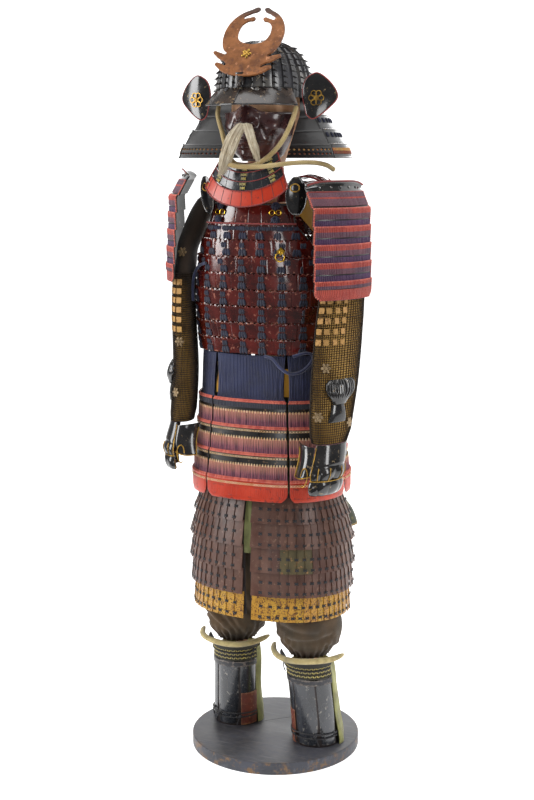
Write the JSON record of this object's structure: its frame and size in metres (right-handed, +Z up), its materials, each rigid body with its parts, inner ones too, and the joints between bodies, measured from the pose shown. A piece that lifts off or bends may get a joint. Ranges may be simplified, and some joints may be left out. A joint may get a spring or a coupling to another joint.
{
  "type": "samurai armour on a limbless wooden display stand",
  "caption": "Empty standing samurai armour with horned helmet, half mask, laced cuirass, mail sleeves, scale thigh guards and shin guards, on a round wooden stand.",
  "frame": {"origin": "centre of the underside of the round base, where the part stands", "axes": "+Z up, -Y the way the armour faces, +X towards the armour's own left side"},
  "size_m": [0.5429, 0.439, 1.8757],
  "materials": {
    "black_lacquer": "gloss lacquer",
    "maroon_lacquer": "gloss lacquer",
    "russet_lacquer": "satin lacquer",
    "rust_iron": "dull lacquer, worn",
    "gilt": "polished",
    "laced_lames": "silk cord over lacquered lames",
    "scale_leather": "lacquered leather",
    "mail": "iron rings on ochre cloth",
    "green_cloth": "worn plain weave",
    "trouser_cloth": "worn plain weave",
    "cord_cream": "plaited cord",
    "cord_blue": "plaited cord",
    "hair": "horsehair",
    "stand_wood": "plain planed",
    "base_black": "black stained"
  },
  "bodies": {
    "root": {"head_block": "stand_wood", "helmet_bowl": "black_lacquer", "helmet_peak": "black_lacquer", "neck_guard": "black_lacquer", "turn_back_left": "black_lacquer", "turn_back_right": "black_lacquer", "crest_horns": "rust_iron", "face_mask": "russet_lacquer", "moustache": "hair", "throat_guard": "black_lacquer", "chin_cord": "cord_cream", "chin_cord_tail": "cord_cream", "cuirass_front": "maroon_lacquer", "cuirass_back": "maroon_lacquer", "shoulder_strap_left": "maroon_lacquer", "shoulder_strap_right": "maroon_lacquer", "shoulder_wing_left": "maroon_lacquer", "shoulder_wing_right": "maroon_lacquer", "strap_guard_left": "black_lacquer", "strap_guard_right": "black_lacquer", "breast_ring": "gilt", "waist_cord": "cord_blue", "side_cord": "cord_blue", "skirt_front": "laced_lames", "skirt_front_left": "laced_lames", "skirt_back_left": "laced_lames", "skirt_back": "laced_lames", "skirt_back_right": "laced_lames", "skirt_front_right": "laced_lames", "sleeve_left": "mail", "sleeve_right": "mail", "forearm_left": "mail", "forearm_right": "mail", "hand_plate_left": "black_lacquer", "hand_plate_right": "black_lacquer", "thumb_plate_left": "black_lacquer", "thumb_plate_right": "black_lacquer", "elbow_plate_left": "black_lacquer", "elbow_plate_right": "black_lacquer", "shoulder_guard_left": "laced_lames", "shoulder_guard_right": "laced_lames", "shoulder_cap_left": "black_lacquer", "shoulder_cap_right": "black_lacquer", "thigh_scales_left": "scale_leather", "thigh_scales_right": "scale_leather", "thigh_cloth_left": "green_cloth", "thigh_cloth_right": "green_cloth", "base_disc": "base_black", "leg_post_left": "stand_wood", "leg_post_right": "stand_wood", "stand_frame": "stand_wood", "trouser_seat": "trouser_cloth", "trouser_leg_left": "trouser_cloth", "trouser_leg_right": "trouser_cloth", "shin_plates_left": "black_lacquer", "shin_plates_right": "black_lacquer", "shin_cloth_left": "green_cloth", "shin_cloth_right": "green_cloth", "knee_roll_left": "cord_cream", "knee_roll_right": "cord_cream"}
  },
  "joints": []
}
